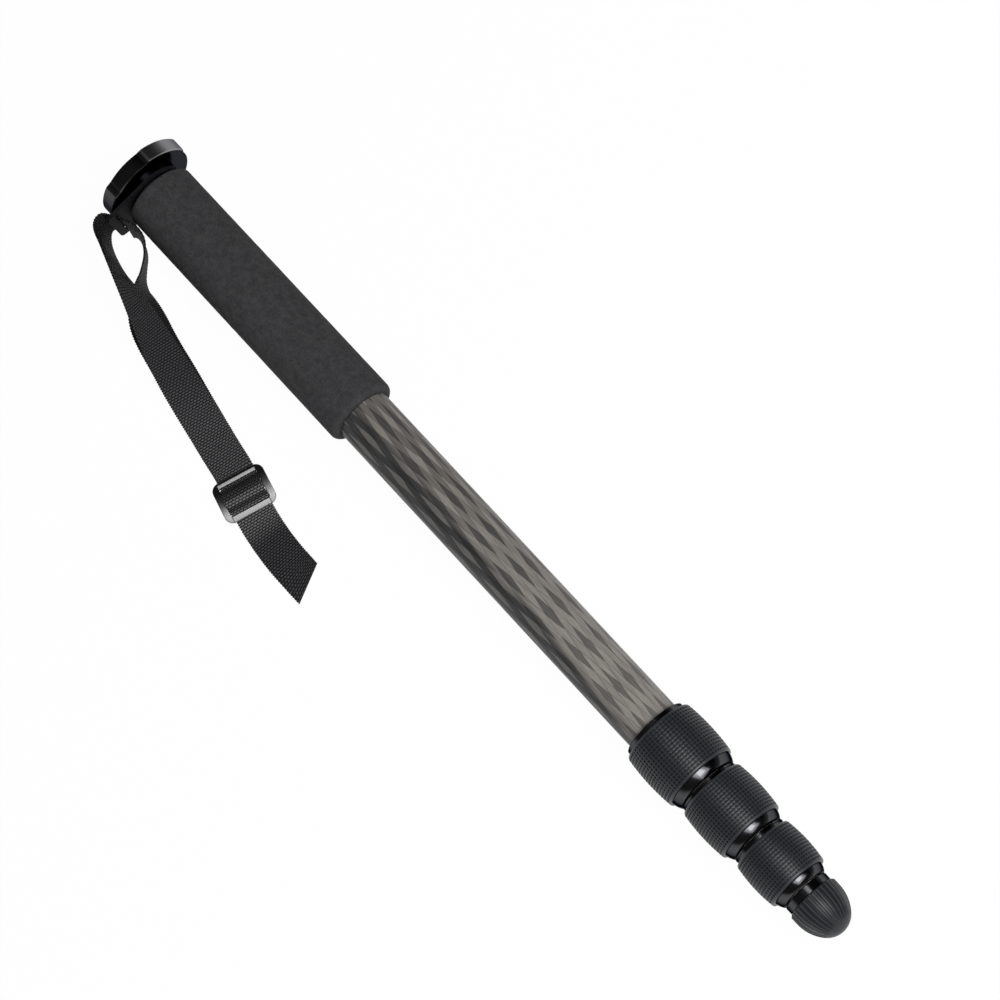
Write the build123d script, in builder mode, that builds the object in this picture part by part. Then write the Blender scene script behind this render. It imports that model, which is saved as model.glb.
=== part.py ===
from build123d import *
import math
import os

# A camera monopod with its legs closed, lying on a surface.
# The origin is the centre of the camera platform's face. +X runs to the foot, +Z is up.
# The platform is wider than the locks, so the long axis falls a little towards the foot.
# All lengths are in millimetres and all angles in degrees.

# Fits
bond_gap = 0.05                 # round fits that are glued, pressed or screwed
turning_gap = 0.3               # pieces that turn or slide past each other
cut_overrun = 1.0               # how far a cutting tool runs past what it cuts

# Tubes, the upper tube first
tube_radius = 14.0
tube_step = 1.55                # each next tube is this much smaller in radius
tube_wall = 1.1
leg_count = 3

# Camera platform
platform_radius = 24.0
platform_height = 8.0
platform_edge = 0.5
recess_count = 3
recess_depth = 1.2
recess_half_angle = 24.0
recess_ramp_angle = 8.0
recess_turn = 11.6              # first recess, from straight up towards the strap
pad_radius = 20.5
pad_hole_radius = 6.5
pad_height = 1.2
pad_proud = 0.3
face_plate = 1.8                # platform metal above the stud's flange

# Camera stud, 3/8 inch outside and 1/4 inch on its other end
stud_radius = 4.7625
stud_reach = 7.8                # how far it stands above the pad, chamfer included
stud_tip_chamfer = 0.8
stud_gap = 0.1
stud_neck_relief = 0.2          # the shank inside the platform is this much slimmer
stud_flange_radius = 7.5
stud_flange_height = 1.6
stud_tail_radius = 3.175
stud_tail_length = 8.0

# Neck between platform and grip, with the swivelling strap ring
boss_radius = 13.4
boss_height = 1.7
neck_radius = 12.0
ring_thickness = 1.8
shoulder_height = 2.2
plug_screw_radius = 8.0
plug_length = 25.0
plug_core_radius = 6.0

# Strap ring
ring_radius = 15.0
ear_reach = 27.3
ear_width = 25.6
ear_corner = 3.0
ear_bar = 4.3
slot_opening = 1.6
slot_side_gap = 0.5

# Foam grip
grip_length = 154.9
grip_radius = 18.1
grip_end_round = 3.2
grip_head_round = 1.6

# Twist locks, first to third
lock_start_from_grip = 207.5    # bare length of the upper tube
grip_over_tube = 5.5            # rubber sleeve's radius over its tube's radius
shell_over_tube = 2.9
sleeve_barrel = 1.0             # the sleeve is this much slimmer at its ends
sleeve_end_round = 0.5
flange_heights = (2.0, 1.1, 0.9)
flange_over_tube = (2.5, 3.05, 3.1)
nut_lips = (0.3, 0.7, 1.3)      # bare nut above its rubber sleeve
sleeve_lengths = (29.1, 26.8, 24.3)
tail_lengths = (4.4, 4.1, 3.9)  # glossy ring below the sleeve
tail_top_radius = 17.4
tail_low_radius = 15.9
tail_step = 1.8
tail_bulge = 0.25
tail_edge = 0.25
leg_gap = 0.7                   # from a closed lock to the next section
thread_length = 15.0
ferrule_wall = 1.45
thread_gap = 0.1
ferrule_lip = 4.0

# Split collets, keyed to the ferrules by two tabs
collet_head = 2.0
collet_head_wall = 2.3
collet_tip_wall = 1.0
collet_slot_count = 8
collet_slot_width = 0.8
tab_width = 6.0
tab_length = 3.4

# Wiper seals
seal_height = 1.8
seal_wall = 1.4
seal_lip = 0.8                  # nut metal below the seal
seal_web = 0.8                  # nut metal above the seal

# Legs
leg_start_from_plug = 5.4       # the first leg's upper end, below the head plug
leg_start_step = 7.0
shell_from_end = 3.0
guide_length = 40.0
guide_thickness = 0.27
guide_split = 1.5
button_radius = 2.0
button_gap = 0.1

# Foot
collar_radius = 11.9
collar_height = 4.4
collar_edge = 0.4
foot_spigot = 28.0
foot_stud_radius = 4.7625
foot_stud_up = 12.0
foot_stud_down = 9.0
foot_radius = 13.1
foot_edge = 0.6
foot_cylinder = 3.8
foot_flank = 13.1
foot_nose_radius = 8.2          # radius where the flank meets the nose
flute_count = 32
flute_radius = 1.0
flute_depth = 0.7
flute_turn = 30.0               # how far a flute follows the flank's arc
flute_runout = 7.0

# Wrist strap webbing and its slider
strap_width = 20.0
strap_thickness = 1.1
strap_cut_angle = 28.0
stations_per_run = 3
slider_length = 21.4
slider_width = 27.4
slider_corner = 4.2
slider_bar = 3.2
slider_rail = 3.3
slider_middle_bar = 2.4
slider_window_round = 1.0
slider_thickness = 1.8
slider_camber = 0.8             # its upper face falls this much towards each end
slider_edge = 0.45
slider_rise = 2.5               # underside of the middle bar above the surface
slider_slope = 4.0              # the slider falls a little towards the tail

# Radii and places that follow from the sizes
tube_radii = [tube_radius - tube_step * i for i in range(leg_count + 1)]
bore_radii = [radius - tube_wall for radius in tube_radii]
platform_top = pad_proud
platform_bottom = platform_top + platform_height
boss_end = platform_bottom + boss_height
ring_start = boss_end + turning_gap
ring_end = ring_start + ring_thickness
shoulder_start = ring_end + turning_gap
neck_end = shoulder_start + shoulder_height
plug_end = neck_end + plug_length
grip_end = neck_end + grip_length

flange_starts = []
flange_ends = []
nut_starts = []
sleeve_starts = []
sleeve_ends = []
nut_ends = []
next_start = grip_end + lock_start_from_grip
for i in range(leg_count):
    flange_starts.append(next_start)
    flange_ends.append(flange_starts[i] + flange_heights[i])
    nut_starts.append(flange_ends[i] + turning_gap)
    sleeve_starts.append(nut_starts[i] + nut_lips[i])
    sleeve_ends.append(sleeve_starts[i] + sleeve_lengths[i])
    nut_ends.append(sleeve_ends[i] + tail_lengths[i])
    next_start = nut_ends[i] + leg_gap

ferrule_ends = [start + thread_length for start in nut_starts]
collar_start = next_start
collar_end = collar_start + collar_height
tube_starts = [neck_end] + [plug_end + leg_start_from_plug + leg_start_step * i for i in range(leg_count)]
tube_ends = [end - ferrule_lip for end in ferrule_ends] + [collar_start]

# The long axis touches the surface at the platform's rim and at the middle of the first lock
lock_middle = (sleeve_starts[0] + sleeve_ends[0]) / 2
rim_contact = platform_bottom - platform_edge
lock_radius = tube_radii[0] + grip_over_tube
fall = math.atan((platform_radius - lock_radius) / (lock_middle - rim_contact))
axis_direction = Vector(math.cos(fall), 0, -math.sin(fall))
surface_height = -(platform_radius * math.cos(fall) + rim_contact * math.sin(fall))

long_axis = Axis((0, 0, 0), tuple(axis_direction))
lengthwise = Plane(origin=(0, 0, 0), x_dir=axis_direction, z_dir=(0, -1, 0))


def across(distance):
    """The plane square to the long axis, with local x along +Y and local y upwards."""
    return Plane(origin=axis_direction * distance, x_dir=(0, 1, 0), z_dir=axis_direction)


def upright(distance):
    """The plane through the long axis whose normal points straight up from it."""
    return Plane(origin=axis_direction * distance, x_dir=axis_direction, z_dir=across(0).y_dir)


os.makedirs("parts", exist_ok=True)


def keep(piece, name):
    """Label a finished piece and write it."""
    piece.part.label = name
    export_step(piece.part, f"parts/{name}.step")


def turned_ring(start, end, inner, outer):
    """A plain ring or tube on the long axis."""
    with BuildPart() as ring:
        with BuildSketch(across(start)):
            Circle(outer)
            Circle(inner, mode=Mode.SUBTRACT)
        extrude(amount=end - start)
    return ring


# Camera platform: a disc with three shallow recesses in its rim and a boss for the ring
recess_end_angle = recess_half_angle + recess_ramp_angle
recess_floor = platform_radius - recess_depth
recess_outside = platform_radius / math.cos(math.radians(recess_end_angle)) + cut_overrun


def polar(radius, angle):
    """A point at a radius and an angle in degrees."""
    return (radius * math.cos(math.radians(angle)), radius * math.sin(math.radians(angle)))


with BuildSketch() as recess:
    with BuildLine():
        floor_arc = CenterArc((0, 0), recess_floor, -recess_half_angle, 2 * recess_half_angle)
        Polyline(
            floor_arc @ 1,
            polar(platform_radius, recess_end_angle),
            polar(recess_outside, recess_end_angle),
            polar(recess_outside, -recess_end_angle),
            polar(platform_radius, -recess_end_angle),
            floor_arc @ 0,
        )
    make_face()

with BuildPart() as platform:
    with BuildSketch(across(platform_top)):
        Circle(platform_radius)
        with PolarLocations(0, recess_count, start_angle=90 + recess_turn):
            add(recess.sketch, mode=Mode.SUBTRACT)
    extrude(amount=platform_height)
    disc_faces = platform.faces().sort_by(long_axis)
    chamfer(disc_faces[0].edges() + disc_faces[-1].edges(), length=platform_edge)
    with BuildSketch(across(platform_bottom)):
        Circle(boss_radius)
    extrude(amount=boss_height)
    with BuildSketch(across(platform_top)):
        Circle(pad_radius + bond_gap)
    extrude(amount=pad_height - pad_proud, mode=Mode.SUBTRACT)
    with BuildSketch(across(pad_height)):
        Circle(stud_radius + stud_gap)
    extrude(amount=face_plate + cut_overrun, mode=Mode.SUBTRACT)
    with BuildSketch(across(pad_height + face_plate)):
        Circle(plug_screw_radius + bond_gap)
    extrude(amount=boss_end - pad_height - face_plate, mode=Mode.SUBTRACT)
keep(platform, "camera_platform")

platform_pad = turned_ring(0, pad_height, pad_hole_radius, pad_radius)
keep(platform_pad, "platform_pad")

# Camera stud with its captive flange
flange_top = pad_height + face_plate
flange_low = flange_top + stud_flange_height
stud_tail_end = flange_low + stud_tail_length
with BuildPart() as camera_stud:
    with BuildSketch(lengthwise):
        with BuildLine():
            Polyline(
                (-stud_reach, 0),
                (-stud_reach, stud_radius - stud_tip_chamfer),
                (stud_tip_chamfer - stud_reach, stud_radius),
                (0, stud_radius),
                (0, stud_radius - stud_neck_relief),
                (flange_top, stud_radius - stud_neck_relief),
                (flange_top, stud_flange_radius),
                (flange_low, stud_flange_radius),
                (flange_low, stud_tail_radius),
                (stud_tail_end, stud_tail_radius),
                (stud_tail_end, 0),
                close=True,
            )
        make_face()
    revolve(axis=long_axis)
keep(camera_stud, "camera_stud")

# Head plug: screwed into the platform, with the ring's neck, bonded into the upper tube
plug_radius = bore_radii[0] - bond_gap
core_start = stud_tail_end + cut_overrun
with BuildPart() as head_plug:
    with BuildSketch(lengthwise):
        with BuildLine():
            Polyline(
                (flange_low, stud_tail_radius + stud_gap),
                (flange_low, plug_screw_radius),
                (boss_end, plug_screw_radius),
                (boss_end, neck_radius),
                (shoulder_start, neck_radius),
                (shoulder_start, tube_radii[0]),
                (neck_end, tube_radii[0]),
                (neck_end, plug_radius),
                (plug_end, plug_radius),
                (plug_end, plug_core_radius),
                (core_start, plug_core_radius),
                (core_start, stud_tail_radius + stud_gap),
                close=True,
            )
        make_face()
    revolve(axis=long_axis)
keep(head_plug, "head_plug")

# Strap ring: a flat plate that turns on the neck, with a slotted ear for the webbing
ear_centre = -(ear_reach - ear_bar - slot_opening / 2)
slot_length = strap_width + 2 * slot_side_gap
with BuildPart() as strap_ring:
    with BuildSketch(across(ring_start)):
        Circle(ring_radius)
        with Locations((-(ear_reach + neck_radius) / 2, 0)):
            RectangleRounded(ear_reach - neck_radius, ear_width, ear_corner)
        make_hull()
        Circle(neck_radius + turning_gap, mode=Mode.SUBTRACT)
        with Locations((ear_centre, 0)):
            RectangleRounded(slot_opening, slot_length, slot_opening / 2 - bond_gap, mode=Mode.SUBTRACT)
    extrude(amount=ring_thickness)
keep(strap_ring, "strap_ring")

# Foam grip with a soft round at each end
with BuildPart() as foam_grip:
    with BuildSketch(across(neck_end)):
        Circle(grip_radius)
        Circle(tube_radii[0] + bond_gap, mode=Mode.SUBTRACT)
    extrude(amount=grip_length)
    grip_faces = foam_grip.faces().sort_by(long_axis)
    fillet(grip_faces[0].outer_wire().edges(), radius=grip_head_round)
    fillet(grip_faces[-1].outer_wire().edges(), radius=grip_end_round)
keep(foam_grip, "foam_grip")

# Tubes: the upper tube is plain, and each leg has two holes for its guide shells' buttons
button_place = shell_from_end + guide_length / 2
for i in range(leg_count + 1):
    with BuildPart() as tube:
        with BuildSketch(across(tube_starts[i])):
            Circle(tube_radii[i])
            Circle(bore_radii[i], mode=Mode.SUBTRACT)
        extrude(amount=tube_ends[i] - tube_starts[i])
        if i > 0:
            with BuildSketch(upright(tube_starts[i] + button_place)):
                Circle(button_radius + button_gap)
            extrude(amount=tube_radii[i] + cut_overrun, both=True, mode=Mode.SUBTRACT)
    keep(tube, "upper_tube" if i == 0 else f"leg_tube_{i + 1}")

# Guide shells: two thin half shells that centre a leg's upper end in the tube around it
for i in range(1, leg_count + 1):
    shell_inner = tube_radii[i] + bond_gap
    shell_outer = shell_inner + guide_thickness
    shell_start = tube_starts[i] + shell_from_end
    for side, sign in (("upper", 1), ("lower", -1)):
        with BuildPart() as guide_shell:
            with BuildSketch(across(shell_start)):
                Circle(shell_outer)
                Circle(shell_inner, mode=Mode.SUBTRACT)
                with Locations((0, sign * (shell_outer + guide_split) / 2)):
                    Rectangle(2 * shell_outer, shell_outer - guide_split, mode=Mode.INTERSECT)
            extrude(amount=guide_length)
            with BuildSketch(upright(tube_starts[i] + button_place).offset(sign * bore_radii[i])):
                Circle(button_radius)
            extrude(amount=sign * (shell_inner + guide_thickness / 2 - bore_radii[i]))
        keep(guide_shell, f"guide_shell_{i + 1}_{side}")

# Twist locks
for i in range(leg_count):
    inner_tube = tube_radii[i + 1]
    sleeve_bore = tube_radii[i] + bond_gap
    ferrule_radius = sleeve_bore + ferrule_wall
    shell_radius = tube_radii[i] + shell_over_tube
    lip_bore = inner_tube + 2 * turning_gap

    # Ferrule: a threaded sleeve with a flange that shows above the lock
    with BuildPart() as ferrule:
        with BuildSketch(lengthwise):
            with BuildLine():
                Polyline(
                    (flange_starts[i], sleeve_bore),
                    (flange_starts[i], tube_radii[i] + flange_over_tube[i] - tail_edge),
                    (flange_starts[i] + tail_edge, tube_radii[i] + flange_over_tube[i]),
                    (flange_ends[i], tube_radii[i] + flange_over_tube[i]),
                    (flange_ends[i], ferrule_radius),
                    (ferrule_ends[i], ferrule_radius),
                    (ferrule_ends[i], bore_radii[i]),
                    (tube_ends[i], bore_radii[i]),
                    (tube_ends[i], sleeve_bore),
                    close=True,
                )
            make_face()
        revolve(axis=long_axis)
        with BuildSketch(across(ferrule_ends[i])):
            Rectangle(2 * (ferrule_radius + cut_overrun), tab_width + 2 * turning_gap)
        extrude(amount=-(tab_length + turning_gap), mode=Mode.SUBTRACT)
    keep(ferrule, f"ferrule_{i + 1}")

    # Split collet: tapered, slotted from its tip, with two tabs in the ferrule's notches
    collet_start = ferrule_ends[i] + turning_gap
    seal_start = nut_ends[i] - seal_lip - seal_height
    collet_end = seal_start - seal_web - turning_gap
    collet_bore = inner_tube + turning_gap
    head_radius = collet_bore + collet_head_wall
    tip_radius = collet_bore + collet_tip_wall
    with BuildPart() as collet:
        with BuildSketch(lengthwise):
            with BuildLine():
                Polyline(
                    (collet_start, collet_bore),
                    (collet_start, head_radius),
                    (collet_start + collet_head, head_radius),
                    (collet_end, tip_radius),
                    (collet_end, collet_bore),
                    close=True,
                )
            make_face()
        revolve(axis=long_axis)
        with BuildSketch(across(collet_end)):
            with PolarLocations((collet_bore + head_radius) / 2, collet_slot_count, start_angle=180 / collet_slot_count):
                Rectangle(head_radius - collet_bore + cut_overrun, collet_slot_width)
        extrude(amount=-(collet_end - collet_start - collet_head), mode=Mode.SUBTRACT)
        with BuildSketch(across(collet_start)):
            Circle(head_radius)
            Circle(collet_bore, mode=Mode.SUBTRACT)
            Rectangle(2 * head_radius, tab_width, mode=Mode.INTERSECT)
        extrude(amount=-tab_length)
    keep(collet, f"lock_collet_{i + 1}")

    # Nut: a shell under the rubber sleeve that ends in the glossy tapered ring
    thread_bore = ferrule_radius + thread_gap
    groove_radius = inner_tube + turning_gap + seal_wall + bond_gap
    tail_top = tail_top_radius - tail_step * i
    tail_low = tail_low_radius - tail_step * i
    taper_start = collet_start + collet_head
    with BuildPart() as lock_nut:
        with BuildSketch(lengthwise):
            with BuildLine():
                Polyline(
                    (nut_ends[i], tail_low - tail_edge),
                    (nut_ends[i], lip_bore),
                    (nut_ends[i] - seal_lip, lip_bore),
                    (nut_ends[i] - seal_lip, groove_radius),
                    (seal_start, groove_radius),
                    (seal_start, lip_bore),
                    (seal_start - seal_web, lip_bore),
                    (seal_start - seal_web, tip_radius + turning_gap),
                    (collet_end, tip_radius + turning_gap),
                    (taper_start, head_radius + turning_gap),
                    (ferrule_ends[i], thread_bore),
                    (nut_starts[i], thread_bore),
                    (nut_starts[i], shell_radius),
                    (sleeve_ends[i], shell_radius),
                    (sleeve_ends[i], tail_top - tail_edge),
                    (sleeve_ends[i] + tail_edge, tail_top),
                )
                ThreePointArc(
                    (sleeve_ends[i] + tail_edge, tail_top),
                    ((sleeve_ends[i] + nut_ends[i]) / 2, (tail_top + tail_low) / 2 + tail_bulge),
                    (nut_ends[i] - tail_edge, tail_low),
                )
                Line((nut_ends[i] - tail_edge, tail_low), (nut_ends[i], tail_low - tail_edge))
            make_face()
        revolve(axis=long_axis)
    keep(lock_nut, f"lock_nut_{i + 1}")

    # Rubber sleeve: slightly barrel-shaped, bonded on the nut
    grip_mid = tube_radii[i] + grip_over_tube
    grip_low = grip_mid - sleeve_barrel
    with BuildPart() as lock_grip:
        with BuildSketch(lengthwise):
            with BuildLine():
                ThreePointArc(
                    (sleeve_starts[i] + sleeve_end_round, grip_low),
                    ((sleeve_starts[i] + sleeve_ends[i]) / 2, grip_mid),
                    (sleeve_ends[i] - sleeve_end_round, grip_low),
                )
                Polyline(
                    (sleeve_ends[i] - sleeve_end_round, grip_low),
                    (sleeve_ends[i], grip_low - sleeve_end_round),
                    (sleeve_ends[i], shell_radius + bond_gap),
                    (sleeve_starts[i], shell_radius + bond_gap),
                    (sleeve_starts[i], grip_low - sleeve_end_round),
                    (sleeve_starts[i] + sleeve_end_round, grip_low),
                )
            make_face()
        revolve(axis=long_axis)
    keep(lock_grip, f"lock_grip_{i + 1}")

    lock_seal = turned_ring(
        seal_start, seal_start + seal_height, inner_tube + turning_gap, groove_radius - bond_gap
    )
    keep(lock_seal, f"lock_seal_{i + 1}")

# Foot plug: a collar with a spigot in the last tube, drilled for the foot's stud
stud_hole = foot_stud_radius + bond_gap
with BuildPart() as foot_plug:
    with BuildSketch(lengthwise):
        with BuildLine():
            Polyline(
                (collar_start - foot_spigot, 0),
                (collar_start - foot_spigot, bore_radii[-1] - bond_gap),
                (collar_start, bore_radii[-1] - bond_gap),
                (collar_start, collar_radius - collar_edge),
                (collar_start + collar_edge, collar_radius),
                (collar_end - collar_edge, collar_radius),
                (collar_end, collar_radius - collar_edge),
                (collar_end, stud_hole),
                (collar_end - foot_stud_up, stud_hole),
                (collar_end - foot_stud_up, 0),
                close=True,
            )
        make_face()
    revolve(axis=long_axis)
keep(foot_plug, "foot_plug")

with BuildPart() as foot_stud:
    with BuildSketch(across(collar_end - foot_stud_up)):
        Circle(foot_stud_radius)
    extrude(amount=foot_stud_up + foot_stud_down)
keep(foot_stud, "foot_stud")

# Rubber foot: a blunt dome with flutes that run out on its flank
foot_start = collar_end
flank_start = foot_start + foot_cylinder
flank_end = flank_start + foot_flank
flank_drop = foot_radius - foot_nose_radius
flank_radius = (foot_flank ** 2 + flank_drop ** 2) / (2 * flank_drop)
flank_turn = 2 * math.atan(flank_drop / foot_flank)
foot_nose = foot_nose_radius * (1 - math.sin(flank_turn)) / math.cos(flank_turn)
foot_tip = flank_end + foot_nose
flute_line = foot_radius + flute_radius - flute_depth


def foot_flute():
    """The tool of one flute: a round bar along the wall that follows the flank and leaves it."""
    with BuildPart() as flute:
        with BuildLine(lengthwise):
            wall_line = Line((foot_start - cut_overrun, flute_line), (flank_start, flute_line))
            flank_arc = JernArc(wall_line @ 1, (1, 0), flank_radius + flute_line - foot_radius, -flute_turn)
            Line(flank_arc @ 1, (flank_arc @ 1) + (flank_arc % 1) * flute_runout)
        with BuildSketch(across(foot_start - cut_overrun)):
            with Locations((0, flute_line)):
                RegularPolygon(flute_radius, 6)
        sweep()
    return flute.part


with BuildPart() as rubber_foot:
    with BuildSketch(lengthwise):
        with BuildLine():
            Polyline(
                (foot_start + foot_stud_down, 0),
                (foot_start + foot_stud_down, stud_hole),
                (foot_start, stud_hole),
                (foot_start, foot_radius - foot_edge),
                (foot_start + foot_edge, foot_radius),
                (flank_start, foot_radius),
            )
            flank = TangentArc((flank_start, foot_radius), (flank_end, foot_nose_radius), tangent=(1, 0))
            nose = TangentArc((foot_tip, 0), flank @ 1, tangent=(0, 1))
            Line(nose @ 0, (foot_start + foot_stud_down, 0))
        make_face()
    revolve(axis=long_axis)
    flute_tool = foot_flute()
    add([flute_tool.rotate(long_axis, 360 * k / flute_count) for k in range(flute_count)], mode=Mode.SUBTRACT)
keep(rubber_foot, "rubber_foot")

# Wrist strap: the webbing lies in two layers, twists up to the ear and passes its slot
slot_middle = (ring_start + ring_end) / 2
slider_x = 150.5
slider_y = -67.9
slider_heading = -15.0


def beside_slider(along, rise):
    """A route point on the slider's centre line, flat on its side."""
    heading = math.radians(slider_heading)
    return (slider_x + along * math.cos(heading), slider_y + along * math.sin(heading), rise, 90)


# Route points: x, y, rise above the surface, and lean (0 with the width upright, 90 laid flat)
front_route = (
    [
        (slot_middle, ear_centre, 24.0, 0),
        (9.8, -22.35, 24.0, 0),
        (9.25, -23.4, 24.0, 0),
        (9.0, -24.6, 24.0, 1),
        (7.2, -26.3, 24.0, 5),
        (6.0, -28.6, 24.1, 8),
        (7.3, -31.9, 24.3, 9),
        (12.0, -35.0, 24.9, 6),
        (20.8, -37.2, 27.4, 3),
        (32.3, -39.6, 32.0, 8),
        (43.9, -42.2, 32.1, 18),
        (52.4, -44.9, 27.5, 27),
        (62.2, -48.4, 19.0, 41),
        (75.2, -52.0, 12.0, 58),
        (89.0, -55.4, 6.3, 74),
        (102.0, -58.1, 3.2, 86),
        (114.5, -60.4, 2.2, 90),
        (126.0, -62.6, 1.95, 90),
    ]
    + [
        beside_slider(along, rise)
        for along, rise in (
            (-14.0, 1.95),
            (-9.6, 1.93),
            (-7.0, 2.0),
            (-5.6, 2.75),
            (-4.3, 4.1),
            (-3.0, 5.55),
            (-1.4, 6.55),
            (0.2, 6.65),
            (1.9, 6.35),
            (3.55, 5.25),
            (4.6, 3.4),
            (5.8, 1.75),
            (7.3, 0.9),
            (10.0, 0.7),
        )
    ]
    + [(169.0, -72.3, 0.7, 90), (181.0, -73.8, 0.7, 90), (193.0, -74.4, 0.7, 90), (206.5, -74.2, 0.7, 90)]
)
back_route = (
    [
        (slot_middle, ear_centre, 24.0, 0),
        (13.4, -22.15, 24.0, 0),
        (16.4, -21.6, 23.8, -7),
        (19.6, -20.9, 23.3, -14),
        (23.4, -20.8, 21.8, -17),
        (27.4, -22.9, 18.8, -15),
        (31.2, -27.0, 15.1, -13),
        (34.0, -32.0, 12.4, -12),
        (36.9, -35.9, 11.4, -4),
        (41.9, -40.6, 10.3, 20),
        (49.4, -45.4, 7.0, 52),
        (57.6, -48.8, 2.8, 79),
        (68.0, -51.4, 0.8, 90),
        (84.0, -54.2, 0.65, 90),
        (99.0, -57.4, 0.65, 90),
        (113.5, -60.2, 0.65, 90),
        (126.0, -62.6, 0.65, 90),
    ]
    + [
        beside_slider(along, rise)
        for along, rise in (
            (-14.0, 0.65),
            (-8.0, 0.65),
            (-4.0, 0.75),
            (-0.6, 1.15),
            (1.7, 1.75),
            (2.9, 3.0),
            (2.3, 4.4),
            (0.8, 5.2),
            (-1.2, 5.15),
            (-2.5, 4.3),
            (-3.5, 3.05),
        )
    ]
)


def webbing_stations(route, start_direction):
    """The planes of the webbing's cross-sections, their width along local x."""
    points = [Vector(x, y, surface_height + rise) for x, y, rise, lean in route]
    path = Spline(*points, mode=Mode.PRIVATE)
    knots = [path.param_at_point(point) for point in points]
    places = []
    for k in range(len(route) - 1):
        for step in range(stations_per_run):
            part_way = step / stations_per_run
            places.append(
                (
                    knots[k] + (knots[k + 1] - knots[k]) * part_way,
                    route[k][3] + (route[k + 1][3] - route[k][3]) * part_way,
                )
            )
    places.append((knots[-1], route[-1][3]))
    stations = []
    for knot, lean in places:
        tangent = path.tangent_at(knot) if stations else start_direction
        upward = (Vector(0, 0, 1) - tangent * tangent.Z).normalized()
        sideways = tangent.cross(upward)
        turn = math.radians(lean)
        width_direction = upward * math.cos(turn) + sideways * math.sin(turn)
        stations.append(Plane(origin=path.position_at(knot), x_dir=width_direction, z_dir=tangent))
    return stations, path.length


front_stations, front_length = webbing_stations(front_route, -axis_direction)
back_stations, back_length = webbing_stations(back_route, axis_direction)
print(f"front strand {front_length:.0f} mm, back strand {back_length:.0f} mm")

with BuildPart() as front_strand:
    for station in front_stations[:-1]:
        with BuildSketch(station):
            Rectangle(strap_width, strap_thickness)
    with BuildSketch(front_stations[-1].rotated((0, strap_cut_angle, 0))):
        Rectangle(strap_width / math.cos(math.radians(strap_cut_angle)), strap_thickness)
    loft(ruled=True)
keep(front_strand, "strap_front_strand")

with BuildPart() as back_strand:
    for station in back_stations:
        with BuildSketch(station):
            Rectangle(strap_width, strap_thickness)
    loft(ruled=True)
keep(back_strand, "strap_back_strand")

# Slider: a flat three-bar buckle on the webbing
slider_spot = Location((slider_x, slider_y, surface_height + slider_rise), (0, slider_slope, slider_heading))
slider_window = (slider_length - 2 * slider_bar - slider_middle_bar) / 2
camber_radius = (slider_length ** 2 / 4 + slider_camber ** 2) / (2 * slider_camber)
with BuildPart() as strap_slider:
    with BuildSketch(Plane(slider_spot)):
        RectangleRounded(slider_length, slider_width, slider_corner)
        with Locations(
            ((slider_middle_bar + slider_window) / 2, 0), (-(slider_middle_bar + slider_window) / 2, 0)
        ):
            RectangleRounded(
                slider_window, slider_width - 2 * slider_rail, slider_window_round, mode=Mode.SUBTRACT
            )
    extrude(amount=slider_thickness)
    with Locations(slider_spot * Location((0, 0, slider_thickness - camber_radius), (90, 0, 0))):
        Cylinder(camber_radius, slider_width + cut_overrun, mode=Mode.INTERSECT)
    upper_face = strap_slider.faces().sort_by(Axis.Z)[-1]
    fillet(upper_face.edges(), radius=slider_edge)
keep(strap_slider, "strap_slider")
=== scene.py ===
import math
import bmesh
import bpy
from mathutils import Matrix, Vector, noise


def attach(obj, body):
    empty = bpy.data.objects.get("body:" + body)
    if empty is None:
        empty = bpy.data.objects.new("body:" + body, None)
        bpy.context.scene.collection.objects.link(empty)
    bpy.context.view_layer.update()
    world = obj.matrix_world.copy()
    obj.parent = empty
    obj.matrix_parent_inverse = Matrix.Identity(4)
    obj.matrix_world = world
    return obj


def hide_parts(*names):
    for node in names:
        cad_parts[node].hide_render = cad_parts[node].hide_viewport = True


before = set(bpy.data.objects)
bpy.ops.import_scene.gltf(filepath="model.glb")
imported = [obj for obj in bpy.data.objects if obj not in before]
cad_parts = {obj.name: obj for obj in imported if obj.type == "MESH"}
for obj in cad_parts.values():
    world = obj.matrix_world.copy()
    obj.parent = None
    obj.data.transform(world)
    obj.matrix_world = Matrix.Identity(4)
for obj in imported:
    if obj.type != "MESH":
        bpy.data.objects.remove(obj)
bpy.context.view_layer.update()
scene = bpy.context.scene

# All lengths are in metres. The monopod's long axis falls a little towards the foot
FALL = 0.01164694
SURFACE = -0.0240892
AXIS = Vector((math.cos(FALL), 0, -math.sin(FALL)))
along_axis = Matrix.Rotation(FALL, 4, "Y")

# Carbon tubes: the braid's diamonds, and the stretches where the tube grows paler towards the foot
CELL_LENGTH = 0.0483
CELL_START = 0.1852
CELL_COLUMNS = 26
CELL_TURN = math.radians(44.3)
PALE_STRETCH = (0.20, 0.33)
DARK_CELL_PALER_STRETCH = (0.23, 0.36)

# Rim of the camera platform
RIM_RADIUS = (0.0232, 0.0236)
RIM_END = (0.0084, 0.0082)

# Rubber foot: its flutes and where they run out
FLUTES = 32
FLUTE_END = (0.5012, 0.4978)

# Wrist strap. The stretches are measured along the front strand: where each starts, is full,
# ends and is last full
STRAP_WIDTH = 0.020
STRAP_THICKNESS = 0.0011
WEFT_PITCH = 0.00125
DASH_LENGTH = 0.00195
SELVEDGE_TOOTH = 0.00024
RIB_HEIGHT = 0.00007
STATION_STEP = 0.00030
CUT_ANGLE = math.radians(24)
CUT_BACK = 0.0012
CUT_STATIONS = 25.0
PROFILE_STEPS = 22
SELVEDGE_SHARE = 0.93
SELVEDGE_THIN = 0.72
# Stretches where the threads are painted paler, a painted highlight: before, in and past the slider
BEFORE_SLIDER = (0.095, 0.135, 0.166, 0.156)
IN_SLIDER = (0.1698, 0.1712, 0.1742, 0.1728)
PAST_SLIDER = (0.1760, 0.1775, 0.200, 0.186)
SHADE_EDGE = 0.014

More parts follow.
